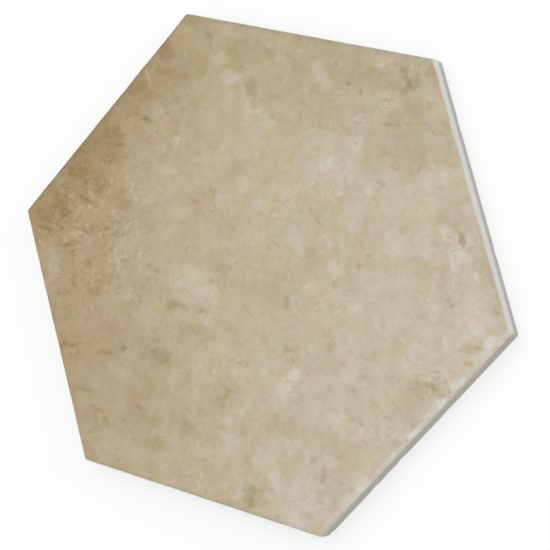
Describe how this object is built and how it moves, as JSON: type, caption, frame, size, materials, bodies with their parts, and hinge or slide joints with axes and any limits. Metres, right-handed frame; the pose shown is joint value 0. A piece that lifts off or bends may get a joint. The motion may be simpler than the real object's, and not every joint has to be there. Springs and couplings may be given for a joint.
{
  "type": "hexagonal glazed porcelain floor tile",
  "caption": "Flat hexagonal glazed porcelain floor tile with an aged stone print, a soft arris and a keyed back.",
  "frame": {"origin": "middle of the plane that the tile beds on, under the middle of the hexagon", "axes": "+Z out of the glazed face, +X towards a corner, +Y square to a side"},
  "size_m": [0.2016, 0.175, 0.009],
  "materials": {
    "tile": "matt glaze with a mottled stone print; bare pressed body on the sides and back"
  },
  "bodies": {
    "root": {"tile": "tile"}
  },
  "joints": []
}
